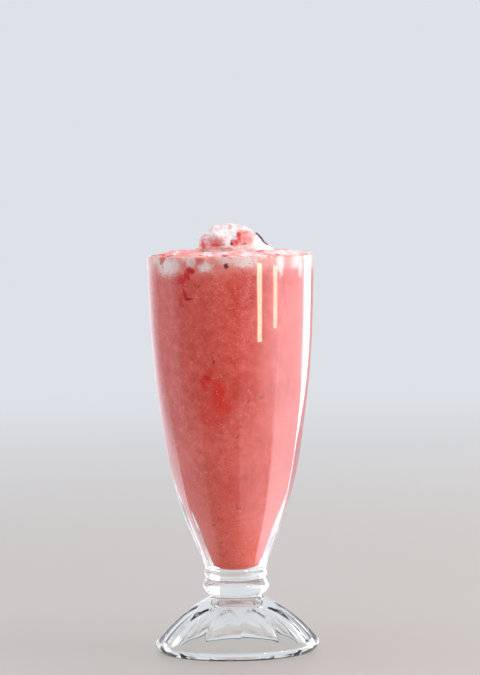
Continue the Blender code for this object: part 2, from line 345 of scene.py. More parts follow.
# Shader helpers
class Desk:
    """Lays out the nodes of one material or group."""

    def __init__(self, tree: Tree) -> None:
        """Keeps the tree that the nodes go in."""
        self.tree = tree

    def put(self, kind: str, inputs: dict | None = None, **settings: object) -> bpy.types.Node:
        """Adds a node.

        Args:
            kind: the node's type.
            inputs: values or outputs for its inputs, by name or number.
            settings: the node's own properties.

        Returns:
            The node.
        """
        node = self.tree.nodes.new(kind)
        for key, value in settings.items():
            setattr(node, key, value)
        for key, value in (inputs or {}).items():
            if isinstance(value, Socket):
                self.tree.links.new(value, node.inputs[key])
            else:
                node.inputs[key].default_value = value
        return node

    def sum(self, operation: str, a: object, b: object = 0.0, c: object = 0.0) -> Socket:
        """Returns the result of a Math node."""
        return self.put("ShaderNodeMath", {0: a, 1: b, 2: c}, operation=operation).outputs[0]

    def vector(self, operation: str, a: object, b: object) -> Socket:
        """Returns the result of a Vector Math node."""
        return self.put("ShaderNodeVectorMath", {0: a, 1: b}, operation=operation).outputs[0]

    def length(self, vector: object) -> Socket:
        """Returns the length of a vector."""
        return self.put("ShaderNodeVectorMath", {0: vector}, operation="LENGTH").outputs["Value"]

    def axis(self, vector: object, name: str) -> Socket:
        """Returns one coordinate of a vector."""
        return self.put("ShaderNodeSeparateXYZ", {0: vector}).outputs[name]

    def span(
        self, value: object, low: object, high: object, bottom: object = 0.0, top: object = 1.0,
    ) -> Socket:
        """Returns a value moved from one range to another with smooth ends."""
        inputs = {"Value": value, "From Min": low, "From Max": high, "To Min": bottom, "To Max": top}
        return self.put("ShaderNodeMapRange", inputs, interpolation_type="SMOOTHSTEP").outputs["Result"]

    def mix(self, factor: object, a: object, b: object, blend: str = "MIX") -> Socket:
        """Returns a colour between two colours."""
        node = self.put("ShaderNodeMix", {0: factor, 6: a, 7: b}, data_type="RGBA", blend_type=blend)
        return node.outputs[2]

    def tint(self, colour: object, mask: object, share: object, paint: object) -> Socket:
        """Returns a colour with a share of a paint over it where a mask lies."""
        return self.mix(self.sum("MULTIPLY", mask, share), colour, paint)

    def noise(
        self, where: object, scale: float, detail: float = 2.0, rough: float = 0.5, warp: float = 0.0,
    ) -> Socket:
        """Returns a noise value at a scale given in lumps per metre."""
        inputs = {"Vector": where, "Scale": scale, "Detail": detail, "Roughness": rough, "Distortion": warp}
        return self.put("ShaderNodeTexNoise", inputs).outputs[0]

    def centred(self, value: object) -> Socket:
        """Returns a value from 0 to 1 moved so that its middle is 0."""
        return self.sum("SUBTRACT", value, 0.5)

    def bump(self, height: object, strength: float, depth: float) -> Socket:
        """Returns the normal of a surface with bumps."""
        inputs = {"Height": height, "Strength": strength, "Distance": depth}
        return self.put("ShaderNodeBump", inputs).outputs[0]

    def blend(self, factor: object, a: object, b: object) -> Socket:
        """Returns a shader between two shaders."""
        return self.put("ShaderNodeMixShader", {0: factor, 1: a, 2: b}).outputs[0]

    def shader(self, kind: str, inputs: dict) -> Socket:
        """Returns the shader of a surface or of the world."""
        return self.put("ShaderNode" + kind, inputs).outputs[0]

    def where(self) -> Socket:
        """Returns the piece's own coordinates in metres."""
        return self.put("ShaderNodeTexCoord").outputs["Object"]

    def group(self, tree: Tree, inputs: dict) -> bpy.types.Node:
        """Adds a shared effect with its own values."""
        return self.put("ShaderNodeGroup", inputs, node_tree=tree)

    def marks(self, blot: Tree, where: object, fine: object, wear: float, marks: tuple[Mark, ...]) -> Socket:
        """Joins patches into one mask.

        Args:
            blot: the effect for one patch.
            where: the coordinates, with ragged edges.
            fine: a fine noise round 0.
            wear: how far that noise breaks up the patches' edges.
            marks: the patches.

        Returns:
            The mask, from 0 to 1.
        """
        grain = self.sum("MULTIPLY", fine, wear)
        mask = None
        for mark in marks:
            spot = self.group(blot, {
                "Vector": where, "Centre": Vector(mark.centre) * MM, "Size": Vector(mark.size) * MM,
                "Softness": mark.soft, "Strength": mark.strength, "Grain": grain,
            }).outputs[0]
            mask = spot if mask is None else self.sum("MAXIMUM", mask, spot)
        return mask


def new_group(
    name: str, inputs: dict[str, str], outputs: dict[str, str],
) -> tuple[Desk, bpy.types.NodeOutputs, bpy.types.Node]:
    """Starts a shared effect.

    Args:
        name: what the effect is called.
        inputs: socket types by name.
        outputs: socket types by name.

    Returns:
        The group's desk, what it is given and its output node.
    """
    tree = bpy.data.node_groups.new(name, "ShaderNodeTree")
    for socket, kind in inputs.items():
        tree.interface.new_socket(socket, in_out="INPUT", socket_type="NodeSocket" + kind)
    for socket, kind in outputs.items():
        tree.interface.new_socket(socket, in_out="OUTPUT", socket_type="NodeSocket" + kind)
    return Desk(tree), tree.nodes.new("NodeGroupInput").outputs, tree.nodes.new("NodeGroupOutput")


def blot_group() -> Tree:
    """Makes the effect for one soft-edged patch at a place.

    Returns:
        The effect.
    """
    sockets = {
        "Vector": "Vector", "Centre": "Vector", "Size": "Vector",
        "Softness": "Float", "Strength": "Float", "Grain": "Float",
    }
    desk, given, end = new_group("Blot", sockets, {"Mask": "Float"})
    offset = desk.vector("SUBTRACT", given["Vector"], given["Centre"])
    share = desk.vector("DIVIDE", offset, given["Size"])
    length = desk.sum("ADD", desk.length(share), given["Grain"])
    low = desk.sum("SUBTRACT", 1.0, given["Softness"])
    high = desk.sum("ADD", 1.0, given["Softness"])
    mask = desk.span(length, low, high, given["Strength"], 0.0)
    desk.tree.links.new(mask, end.inputs["Mask"])
    return desk.tree


def ragged_group() -> Tree:
    """Makes the effect that shifts coordinates, so that the edges of patches are ragged.

    Returns:
        The effect.
    """
    sockets = {"Vector": "Vector", "Scale": "Float", "Amount": "Float"}
    desk, given, end = new_group("Ragged", sockets, {"Vector": "Vector"})
    where, scale = given["Vector"], given["Scale"]
    inputs = {"Vector": where, "Scale": scale, "Detail": 3.0, "Roughness": 0.6}
    colour = desk.put("ShaderNodeTexNoise", inputs).outputs["Color"]
    centred = desk.vector("SUBTRACT", colour, (0.5, 0.5, 0.5))
    shift = {0: centred, "Scale": given["Amount"]}
    moved = desk.put("ShaderNodeVectorMath", shift, operation="SCALE").outputs[0]
    desk.tree.links.new(desk.vector("ADD", where, moved), end.inputs["Vector"])
    return desk.tree


def pulp_group() -> Tree:
    """Makes the effect of blended fruit: fine pale bubbles and small dark grains.

    Returns:
        The effect.
    """
    sockets = {"Vector": "Vector", "Bubbles": "Float", "Grains": "Float"}
    desk, given, end = new_group("Pulp", sockets, {"Pale": "Float", "Dark": "Float", "Height": "Float"})
    where = given["Vector"]
    cells = desk.put("ShaderNodeTexVoronoi", {"Vector": where, "Scale": 1000.0, "Randomness": 1.0})
    dots = desk.span(cells.outputs["Distance"], 0.15, 0.5, 1.0, 0.0)
    chosen = desk.span(desk.noise(where, 330.0, 3.0, 0.7), 0.46, 0.6)
    pale = desk.sum("MULTIPLY", desk.sum("MULTIPLY", dots, chosen), given["Bubbles"])
    grains = desk.put("ShaderNodeTexVoronoi", {"Vector": where, "Scale": 640.0, "Randomness": 1.0})
    spots = desk.span(grains.outputs["Distance"], 0.1, 0.36, 1.0, 0.0)
    picked = desk.span(desk.noise(where, 190.0, 2.0, 0.6), 0.52, 0.62)
    dark = desk.sum("MULTIPLY", desk.sum("MULTIPLY", spots, picked), given["Grains"])
    desk.tree.links.new(pale, end.inputs["Pale"])
    desk.tree.links.new(dark, end.inputs["Dark"])
    desk.tree.links.new(desk.sum("SUBTRACT", pale, dark), end.inputs["Height"])
    return desk.tree


@dataclass
class Effects:
    """The shared effects, made once for all finishes."""

    blot: Tree = field(default_factory=blot_group)
    ragged: Tree = field(default_factory=ragged_group)
    pulp: Tree = field(default_factory=pulp_group)


def blank_material(name: str) -> tuple[Material, Desk]:
    """Starts a material.

    Args:
        name: what it is called.

    Returns:
        The empty material and its desk.
    """
    made = bpy.data.materials.new(name)
    made.use_nodes = True
    made.node_tree.nodes.clear()
    return made, Desk(made.node_tree)


@dataclass(frozen=True)
class ClearGlass:
    """Pressed clear glass, with the faint waves of its mould."""

    tint: Colour = (0.985, 0.993, 0.99, 1.0)
    shadow: Colour = (0.96, 0.975, 0.97, 1.0)
    refraction: float = 1.5
    waves: float = 0.06
    drawn_out: Triple = (1.0, 1.0, 0.2)

    def material(self) -> Material:
        """Builds the finish.

        Returns:
            The material.
        """
        made, desk = blank_material("pressed_glass")
        where = desk.where()
        streaks = desk.noise(desk.vector("MULTIPLY", where, self.drawn_out), 420.0)
        height = desk.sum("MULTIPLY_ADD", streaks, 0.22, desk.noise(where, 90.0))
        worn = desk.span(desk.noise(where, 420.0, 3.0, 0.6), 0.5, 0.8, 0.0, 0.03)
        glass = desk.shader("BsdfPrincipled", {
            "Base Color": self.tint, "Roughness": worn, "IOR": self.refraction,
            "Transmission Weight": 1.0, "Normal": desk.bump(height, self.waves, 0.3 * MM),
        })
        clear = desk.shader("BsdfTransparent", {"Color": self.shadow})
        path = desk.put("ShaderNodeLightPath").outputs
        through = desk.sum("MAXIMUM", path["Is Shadow Ray"], path["Is Diffuse Ray"])
        desk.put("ShaderNodeOutputMaterial", {0: desk.blend(through, glass, clear)})
        return made


@dataclass(frozen=True)
class FruitFinish:
    """The blended drink and its froth, in one colouring that runs on from one to the other."""

    pink: Colour = tone(233, 90, 78)
    deep: Colour = tone(214, 68, 56)
    light: Colour = tone(246, 120, 110)
    # Painted light: a paler colour for the lower bowl, where less light falls
    low: Colour = tone(252, 112, 96)
    # Painted reflection haze: the food's colour where the glass mirrors it
    pale: Colour = tone(222, 214, 214)
    foam: Colour = tone(255, 166, 157)
    cream: Colour = tone(255, 234, 233)
    red: Colour = tone(226, 17, 23)
    berry: Colour = tone(232, 56, 40)
    dark: Colour = tone(104, 18, 40)
    bubble: Colour = tone(252, 184, 170)
    seed: Colour = tone(140, 30, 28)
    froth_line: Point = (188.0 * MM, 198.5 * MM)
    froth_wander: float = 14.0 * MM
    speckled: float = 189.0 * MM

    def drink(self, desk: Desk, where: Socket, up: Socket) -> Socket:
        """Colours the blended drink, painted paler low in the bowl to make up for the shade that falls
        there.

        Args:
            desk: the material's desk.
            where: the coordinates.
            up: the height.

        Returns:
            The colour.
        """
        clouds = desk.span(desk.noise(where, 26.0, 3.0, 0.55, 0.4), 0.34, 0.66)
        colour = desk.mix(0.55, desk.mix(clouds, self.light, self.deep), self.pink)
        mottle = desk.span(desk.noise(where, 240.0, 4.0, 0.7), 0.3, 0.7, -1.0, 1.0)
        colour = desk.tint(colour, desk.sum("MAXIMUM", mottle, 0.0), 0.4, self.light)
        rich = desk.sum("MAXIMUM", desk.sum("MULTIPLY", mottle, -1.0), 0.0)
        colour = desk.tint(colour, rich, 0.45, self.deep)
        # Painted light: the lower bowl is painted paler, to offset the shade there
        return desk.mix(desk.span(up, 45.0 * MM, 115.0 * MM, 0.6, 0.0), colour, self.low)

    def colouring(self, desk: Desk, effects: Effects) -> tuple[Socket, Socket, Socket]:
        """Lays out the colour.

        Args:
            desk: the material's desk.
            effects: the shared effects.

        Returns:
            The colour, the height for the bumps and how red it is.
        """
        where = desk.where()
        up = desk.axis(where, "Z")
        out = desk.length(desk.vector("MULTIPLY", where, (1.0, 1.0, 0.0)))
        inward = desk.span(out, 36.0 * MM, 38.8 * MM, 1.0, 0.0)
        on_top = desk.sum("MULTIPLY", inward, desk.span(up, 196.0 * MM, 198.0 * MM))
        fine = desk.centred(desk.noise(where, 700.0, 3.0, 0.7))
        torn = desk.group(effects.ragged, {"Vector": where, "Scale": 380.0, "Amount": 4.0 * MM}).outputs[0]
        # The froth over the drink
        wander = desk.sum("MULTIPLY", desk.centred(desk.noise(where, 150.0, 3.0, 0.6)), self.froth_wander)
        frothy = desk.span(desk.sum("ADD", up, wander), *self.froth_line, 0.0, 0.9)
        colour = desk.mix(frothy, self.drink(desk, where, up), self.foam)
        # Cream: patches behind the wall, swirls on top
        swirls = desk.sum("MULTIPLY_ADD", desk.axis(where, "X"), 2.4, desk.noise(torn, 75.0, 4.0, 0.6, 1.2))
        cream = desk.marks(effects.blot, torn, fine, 1.1, CREAM_MARKS)
        cream = desk.mix(on_top, cream, desk.span(swirls, 0.46, 0.62))
        drawn = desk.vector("MULTIPLY", where, (1.0, 1.0, 0.3))
        worn = desk.span(desk.noise(drawn, 620.0, 3.0, 0.7), 0.35, 0.6, 0.58, 1.0)
        colour = desk.tint(colour, cream, worn, self.cream)
        # Red: pulp behind the wall, threads of syrup on top
        threads = desk.vector("ADD", torn, (0.31, 0.17, 0.05))
        syrup = desk.span(desk.noise(threads, 60.0, 3.0, 0.6, 1.6), 0.57, 0.66, 0.0, 0.9)
        reds = desk.mix(on_top, desk.marks(effects.blot, torn, fine, 1.5, RED_MARKS), syrup)
        colour = desk.mix(reds, colour, self.red)
        colour = desk.mix(desk.marks(effects.blot, torn, fine, 0.9, BERRY_MARKS), colour, self.berry)
        colour = desk.mix(desk.marks(effects.blot, torn, fine, 0.4, DARK_MARKS), colour, self.dark)
        # Bubbles and seeds, most of them just under the froth
        away = desk.sum("ABSOLUTE", desk.sum("SUBTRACT", up, self.speckled))
        band = desk.span(away, 2.0 * MM, 13.0 * MM, 1.0, 0.75)
        specks = desk.group(effects.pulp, {"Vector": where, "Bubbles": band, "Grains": band}).outputs
        colour = desk.tint(colour, specks["Pale"], 0.5, self.bubble)
        colour = desk.tint(colour, specks["Dark"], 0.8, self.seed)
        return colour, specks["Height"], reds

    def material(self, name: str, effects: Effects, soft: float, gloss: float) -> Material:
        """Builds the finish.

        Args:
            name: what the material is called.
            effects: the shared effects.
            soft: how much light goes into it and comes out elsewhere.
            gloss: how much it shines, which is little where it is wet against the wall.

        Returns:
            The material.
        """
        made, desk = blank_material(name)
        colour, height, reds = self.colouring(desk, effects)
        # Painted reflection haze: where the glass mirrors the food inside itself, its colour is painted
        # paler than where it is seen straight through
        reflection_depth = desk.put("ShaderNodeLightPath").outputs["Glossy Depth"]
        colour = desk.mix(desk.sum("MINIMUM", reflection_depth, 0.92), colour, self.pale)
        body = desk.shader("BsdfPrincipled", {
            "Base Color": colour, "Roughness": desk.span(reds, 0.0, 1.0, 0.55, 0.25), "IOR": 1.36,
            "Specular IOR Level": gloss, "Normal": desk.bump(height, 0.35, 0.25 * MM),
            "Subsurface Weight": soft, "Subsurface Radius": (1.0, 0.4, 0.35), "Subsurface Scale": 1.5 * MM,
        })
        desk.put("ShaderNodeOutputMaterial", {0: body})
        return made


@dataclass(frozen=True)
class IceCreamFinish:
    """Ivory ice cream with strawberry syrup that has run over it."""

    cream: Colour = tone(255, 249, 246)
    shade: Colour = tone(250, 214, 208)
    pink: Colour = tone(246, 146, 142)
    red: Colour = tone(238, 54, 54)
    dark: Colour = tone(84, 30, 34)
    seed: Colour = tone(214, 110, 104)

    def material(self, effects: Effects) -> Material:
        """Builds the finish.

        Args:
            effects: the shared effects.

        Returns:
            The material.
        """
        made, desk = blank_material("ice_cream")
        where = desk.where()
        fine = desk.centred(desk.noise(where, 800.0, 3.0, 0.7))
        torn = desk.group(effects.ragged, {"Vector": where, "Scale": 330.0, "Amount": 4.0 * MM}).outputs[0]
        colour = desk.mix(desk.span(desk.noise(where, 170.0, 3.0, 0.6), 0.45, 0.7), self.cream, self.shade)
        pinks = desk.marks(effects.blot, torn, fine, 1.0, SCOOP_PINKS)
        veil = desk.span(desk.noise(torn, 140.0, 3.0, 0.6, 0.8), 0.56, 0.72, 0.0, 0.6)
        colour = desk.tint(colour, desk.sum("MAXIMUM", pinks, veil), 0.9, self.pink)
        reds = desk.marks(effects.blot, torn, fine, 0.8, SCOOP_REDS)
        colour = desk.tint(colour, reds, 0.95, self.red)
        colour = desk.mix(desk.marks(effects.blot, torn, fine, 0.4, SCOOP_DARKS), colour, self.dark)
        specks = desk.group(effects.pulp, {"Vector": where, "Bubbles": 1.0, "Grains": 0.5}).outputs
        colour = desk.tint(colour, specks["Dark"], 0.3, self.seed)
        height = desk.sum("ADD", specks["Height"], desk.sum("MULTIPLY", fine, 1.6))
        wet = desk.sum("MAXIMUM", reds, pinks)
        body = desk.shader("BsdfPrincipled", {
            "Base Color": colour, "Roughness": desk.span(wet, 0.0, 1.0, 0.55, 0.22),
            "IOR": 1.36, "Normal": desk.bump(height, 0.45, 0.25 * MM),
            "Subsurface Weight": 0.4, "Subsurface Radius": (1.0, 0.7, 0.6), "Subsurface Scale": 2.0 * MM,
        })
        desk.put("ShaderNodeOutputMaterial", {0: body})
        return made


@dataclass(frozen=True)
class LeafFinish:
    """A dark wilted leaf with paler veins."""

    dark: Colour = tone(84, 52, 66)
    vein: Colour = tone(132, 92, 104)

    def material(self) -> Material:
        """Builds the finish.

        Returns:
            The material.
        """
        made, desk = blank_material("dark_leaf")
        where = desk.where()
        inputs = {"Vector": where, "Scale": 260.0, "Distortion": 3.0}
        veins = desk.put("ShaderNodeTexWave", inputs).outputs["Fac"]
        leaf = desk.shader("BsdfPrincipled", {
            "Base Color": desk.mix(desk.span(veins, 0.55, 0.95), self.dark, self.vein),
            "Roughness": desk.span(desk.noise(where, 900.0), 0.3, 0.7, 0.35, 0.6),
            "Normal": desk.bump(veins, 0.3, 0.1 * MM),
        })
        desk.put("ShaderNodeOutputMaterial", {0: leaf})
        return made


class Part(Enum):
    """The stretches of the glass's section."""

    INSIDE = 0
    LIP = 1
    BOWL = 2
    KNOB = 3
    DOME = 4
    FOOT = 5


@dataclass
class Goblet:
    """The glass: bowl, ringed knob and panelled hollow foot in one piece."""

    steps: int = 20 * PANELS
    knob_radius: float = 16.7 * MM
    neck_radius: float = 12.4 * MM
    foot_radius: float = 41.2 * MM
    bead_radius: float = 2.4 * MM
    hollow_top: float = 24.2 * MM
    foot_panels: float = 1.1
    bowl_panels: float = 0.85
    arch_top: float = 23.5 * MM
    arch_drop: float = 4.5 * MM
    bowl: tuple[Point, ...] = ((RIM_RADIUS, 197.6 * MM), *in_mm(
        (41.3, 180.0), (40.3, 158.0), (38.4, 135.0), (35.8, 115.0), (32.7, 96.0), (29.1, 80.0),
        (24.7, 66.0), (19.4, 53.0), (15.7, 43.5),
    ))
    dome: tuple[Point, ...] = in_mm(
        (14.2, 26.9), (19.0, 24.2), (25.5, 20.0), (32.4, 14.2), (37.0, 9.4), (39.6, 6.4),
    )
    hollow: tuple[Point, ...] = in_mm(
        (35.6, 2.6), (31.2, 8.6), (24.6, 14.6), (16.4, 19.6), (8.0, 23.0),
    )

    def knob(self) -> list[Point]:
        """Draws the ring, the groove, the fat bead and the taper between bowl and foot.

        Returns:
            The points, from the top down.
        """
        points = (
            *in_mm((15.6, 41.2), (15.9, 40.4), (15.8, 38.6), (15.2, 37.6), (16.2, 35.8)),
            (self.knob_radius, 33.6 * MM),
            *in_mm((16.1, 31.4), (14.5, 29.4)),
            (self.neck_radius, 28.0 * MM),
        )
        return curve_through(points, 4)

    def section(self) -> tuple[list[Point], list[int]]:
        """Draws the whole section of the glass.

        Returns:
            The points and which stretch each is in.
        """
        lip_radius = RIM_WALL / 2.0
        bead_centre = (self.foot_radius - self.bead_radius, 3.4 * MM)
        rest = [(39.0 * MM, 0.0), (37.7 * MM, 0.0), (36.4 * MM, 0.0)]
        stretches = (
            (Part.INSIDE, BOWL_LINE),
            (Part.LIP, arc((RIM_RADIUS - lip_radius, HEIGHT - lip_radius), lip_radius, 180.0, 0.0, 10)),
            (Part.BOWL, curve_through(self.bowl, 10)),
            (Part.KNOB, self.knob()),
            (Part.DOME, curve_through(self.dome, 8)),
            (Part.FOOT, arc(bead_centre, self.bead_radius, 40.0, -60.0, 8)),
            (Part.FOOT, rest),
            (Part.FOOT, curve_through((*self.hollow, (0.0, self.hollow_top)), 6)),
        )
        points, tags = [], []
        for part, line in stretches:
            points.extend(line)
            tags.extend([part.value] * len(line))
        return points, tags

    def press(self, made: Mesh) -> None:
        """Presses the flat panels into the bowl and the arched ones into the foot.

        Args:
            made: the spun glass.
        """
        layer = made.verts.layers.int["region"]
        width = 2.0 * math.pi / PANELS
        for vertex in made.verts:
            part = vertex[layer]
            if part not in (Part.BOWL.value, Part.DOME.value):
                continue
            x, y, z = vertex.co
            across = ((math.atan2(x, -y) - PANEL_TURN) / width) % 1.0 - 0.5
            flat = math.cos(width / 2.0) / math.cos(across * width)
            if part == Part.DOME.value:
                top = self.arch_top - self.arch_drop * (2.0 * across) ** 2
                share = self.foot_panels * (1.0 - ease(z, top - 1.6 * MM, top))
            else:
                fading = 1.0 - ease(z, 85.0 * MM, 155.0 * MM)
                share = self.bowl_panels * fading * ease(z, 43.0 * MM, 50.0 * MM)
            scale = 1.0 + (flat - 1.0) * share
            vertex.co.x = x * scale
            vertex.co.y = y * scale

    def build(self) -> Piece:
        """Builds and dresses the glass.

        Returns:
            The finished piece.
        """
        points, tags = self.section()
        made = spun(points, self.steps, tags)
        bmesh.ops.rotate(made, verts=made.verts, matrix=Matrix.Rotation(PANEL_TURN, 3, "Z"))
        self.press(made)
        piece = to_object(made, "soda_glass", ClearGlass().material())
        place(piece, "glass", "glass")
        return piece


def meet_wall(vertex: bmesh.types.BMVert, extra: float = 0.0) -> None:
    """Moves a vertex level to where the food reaches just into the wall.

    Args:
        vertex: a vertex of the food.
        extra: how much further out it goes.
    """
    x, y, z = vertex.co
    grow = (radius_at(BOWL_LINE, z) + INTO_WALL + extra) / math.hypot(x, y)
    vertex.co.xy = (x * grow, y * grow)


@dataclass
class Drink:
    """The smoothie itself, from the bottom of the bowl up into the froth."""

    steps: int = 240
    rounded_end: float = 46.0 * MM
    finish: FruitFinish = field(default_factory=FruitFinish)

    def build(self, effects: Effects) -> Piece:
        """Builds and dresses the drink, which reaches just into the wall.

        Args:
            effects: the shared effects.

        Returns:
            The finished piece.
        """
        top, bend = HEIGHT - FROTH_REACH, HEIGHT - 2.0 * FROTH_REACH
        heights = [z for r, z in BOWL_LINE if z < top - 1.0 * MM] + [top - 0.6 * MM, top - 0.2 * MM, top]
        side = []
        for z in heights[1:]:
            side.append((radius_at(BOWL_LINE, z) + INTO_WALL, z - INTO_WALL * (z < self.rounded_end)))
        edge = side[-1][0]
        cap = [(edge - 0.2 * MM, top)] + [(edge * share / 12.0, top) for share in range(11, -1, -1)]
        made = spun([(0.0, CAVITY_BOTTOM - INTO_WALL)] + side + cap, self.steps)
        for vertex in made.verts:
            x, y, z = vertex.co
            if z > bend:
                vertex.co.z = bend + (z - bend) * (froth_floor(x, y) - bend) / (top - bend)
                if math.hypot(x, y) > radius_at(BOWL_LINE, z):
                    meet_wall(vertex)
        finish = self.finish.material("strawberry_smoothie", effects, 0.15, 0.05)
        piece = to_object(made, "blended_drink", finish)
        place(piece, "smoothie", "smoothie")
        return piece


@dataclass
class Froth:
    """The marbled froth: the band behind the wall and the lumpy top."""

    steps: int = 360
    rings: int = 84
    wall_rows: int = 30
    edge_height: float = 199.0 * MM
    overlap: float = 1.8 * MM
    bubbles: float = 1.2 * MM
    swelling: float = 0.6 * MM
    bulge: float = 0.03 * MM
    drawn_in: float = 0.3 * MM
    finish: FruitFinish = field(default_factory=FruitFinish)

    def top(self, x: float, y: float) -> float:
        """Finds the height of the froth's lumpy top.

        Args:
            x, y: the place, in metres from the axis.

        Returns:
            The height in metres.
        """
        radius = math.hypot(x, y)
        between = 0.7 * SEAT_RADIUS + 0.3 * RIM_RADIUS
        fall = (SEAT_HEIGHT - self.edge_height) * ease(radius, SEAT_RADIUS, RIM_RADIUS - RIM_WALL)
        lumps = 0.5 * MM + 0.45 * MM * math.sin(170.0 * x + 1.0) * math.sin(150.0 * y + 0.4)
        lumps += 0.35 * MM * math.sin(410.0 * x - 260.0 * y)
        fine = self.bubbles * noise.fractal(Vector((x, y, 0.1)) * 160.0, 0.8, 2.2, 4)
        swell = self.swelling * ease(radius, 13.0 * MM, 17.0 * MM)
        edge = 1.0 - (radius / RIM_RADIUS) ** 6
        outside = lumps * ease(radius, SEAT_RADIUS, between) + fine * ease(radius, 16.0 * MM, between)
        return SEAT_HEIGHT - fall + (outside + swell) * edge

    def build(self, effects: Effects) -> Piece:
        """Builds and dresses the froth.

        Args:
            effects: the shared effects.

        Returns:
            The finished piece.
        """
        low, high = HEIGHT - FROTH_REACH, HEIGHT
        edge = RIM_RADIUS - RIM_WALL + INTO_WALL
        flat = [(edge * i / self.rings, high) for i in range(self.rings + 1)]
        wall = [(edge, high + (low - high) * i / self.wall_rows) for i in range(1, self.wall_rows + 1)]
        floor = [(edge * share / 6.0, low) for share in range(5, -1, -1)]
        tags = [0] * len(flat) + [1] * (len(wall) + len(floor))
        made = spun(flat + wall + floor, self.steps, tags)
        layer = made.verts.layers.int["region"]
        for vertex in made.verts:
            x, y, z = vertex.co
            start = self.top(x, y)
            down = (high - z) / (high - low)
            if vertex[layer] == 0:
                vertex.co.z = start
            else:
                bottom = froth_floor(x, y) - self.overlap
                vertex.co.z = start + (bottom - start) * down
            if math.hypot(x, y) > edge - 0.01 * MM:
                under = froth_floor(x, y) - vertex.co.z
                meet_wall(vertex, self.bulge - self.drawn_in * ease(under, 0.2 * MM, self.overlap))
        piece = to_object(made, "marbled_froth", self.finish.material("marbled_froth", effects, 0.2, 0.25))
        place(piece, "froth", "froth")
        return piece


@dataclass
class Scoop:
    """The scoop of ice cream with its syrup, seated in the froth."""

    centre: Vector = field(default_factory=lambda: Vector((0.4 * MM, 0.0, SEAT_HEIGHT + 0.3 * MM)))
    radius: float = 16.6 * MM
    height: float = 13.4 * MM
    depth: float = 1.4 * MM
    around: int = 200
    upward: int = 100

    def relief(self, direction: Vector) -> float:
        """Finds how uneven the scoop is in a direction.

        Args:
            direction: a direction from its middle.

        Returns:
            The factor for its radius.
        """
        x, y, z = direction
        lumps = 0.035 * math.sin(5.0 * x + 2.0) * math.sin(4.0 * y + 1.0)
        lumps += 0.025 * math.sin(9.0 * x + 7.0 * z) + 0.02 * math.sin(11.0 * y - 6.0 * z + 1.5)
        shoulder = 0.11 * math.exp(-((x + 0.62) ** 2 + (z - 0.75) ** 2) / 0.12)
        skirt = 0.3 * max(x, 0.0) ** 3 * math.exp(-(z / 0.16) ** 2)
        return 1.0 + lumps + shoulder + skirt

    def surface(self, direction: Vector) -> Vector:
        """Finds the point of the scoop's surface in a direction.

        Args:
            direction: a direction from its middle.

        Returns:
            The point in metres.
        """
        factor = self.relief(direction)
        rise = max(direction.z, 0.0) * self.height * (1.0 + 0.6 * (factor - 1.0))
        if direction.z < 0.0:
            rise = direction.z * self.depth
        reach = self.radius * factor
        return self.centre + Vector((direction.x * reach, direction.y * reach, rise))

    def build(self, effects: Effects) -> Piece:
        """Builds and dresses the scoop.

        Args:
            effects: the shared effects.

        Returns:
            The finished piece.
        """
        made = bmesh.new()
        bmesh.ops.create_uvsphere(made, u_segments=self.around, v_segments=self.upward, radius=1.0)
        for vertex in made.verts:
            direction = vertex.co.normalized()
            spot = self.surface(direction)
            crumbs = 0.8 * noise.fractal(spot * 200.0, 0.8, 2.2, 3)
            crumbs += 0.35 * noise.fractal(spot * 620.0, 0.8, 2.1, 2)
            vertex.co = spot + direction * (crumbs * ease(direction.z, -0.1, 0.1) * MM)
        bmesh.ops.recalc_face_normals(made, faces=made.faces)
        piece = to_object(made, "ice_cream_scoop", IceCreamFinish().material(effects))
        place(piece, "ice_cream", "scoop")
        return piece


@dataclass
class Leaf:
    """The dark curl of leaf that leans on the scoop's right side."""

    width: float = 4.0 * MM
    thickness: float = 0.5 * MM
    turn: float = math.radians(9.0)
    high_tilt: float = math.radians(40.0)
    low_tilt: float = math.radians(11.0)

    def build(self, scoop: Scoop) -> Piece:
        """Builds and dresses the leaf along the scoop's surface.

        Args:
            scoop: the scoop that it leans on.

        Returns:
            The finished piece.
        """
        made = bmesh.new()
        bmesh.ops.create_grid(made, x_segments=40, y_segments=14, size=0.5)
        for vertex in made.verts:
            t = vertex.co.x + 0.5
            width = self.width * (0.2 + 0.8 * math.sin(math.pi * (0.06 + 0.88 * t)))
            turn = self.turn + vertex.co.y * width / scoop.radius
            tilt = self.high_tilt + (self.low_tilt - self.high_tilt) * t
            level = math.cos(tilt)
            direction = Vector((level * math.cos(turn), level * math.sin(turn), math.sin(tilt)))
            wave = 0.2 * MM * (1.0 + math.sin(7.0 * t + 4.0 * vertex.co.y))
            vertex.co = scoop.surface(direction) + direction * (0.3 * MM + self.thickness + wave)
        bmesh.ops.recalc_face_normals(made, faces=made.faces)
        piece = to_object(made, "leaf_curl", LeafFinish().material())
        wall = piece.modifiers.new("Thickness", "SOLIDIFY")
        wall.thickness = self.thickness
        wall.offset = 0.0
        place(piece, "leaf", "leaf")
        return piece


class Light(Enum):
    """What a lamp is for."""

    SHADING = "shading"
    REFLECTION = "reflection"
    SEEN_THROUGH = "seen through"


def hang_panel(
    name: str, use: Light, size: tuple[float, float], glow: float, colour: Triple, pose: Matrix,
) -> None:
    """Hangs a panel of light that the camera doesn't see.

    Args:
        name: what it is called.
        use: what it is for, so which rays meet it.
        size: its width and its height in metres.
        glow: its brightness.
        colour: its colour.
        pose: where it hangs and which way it faces.
    """
    lamp = bpy.data.lights.new(name, "AREA")
    lamp.shape = "RECTANGLE"
    lamp.size, lamp.size_y = size
    lamp.energy = glow * math.pi * lamp.size * lamp.size_y
    lamp.color = colour
    stand = bpy.data.objects.new(name, lamp)
    stand.matrix_world = pose
    stand.visible_camera = False
    stand.visible_diffuse = use is Light.SHADING
    stand.visible_glossy = use is Light.REFLECTION
    stand.visible_transmission = use is Light.SEEN_THROUGH
    bpy.context.scene.collection.objects.link(stand)


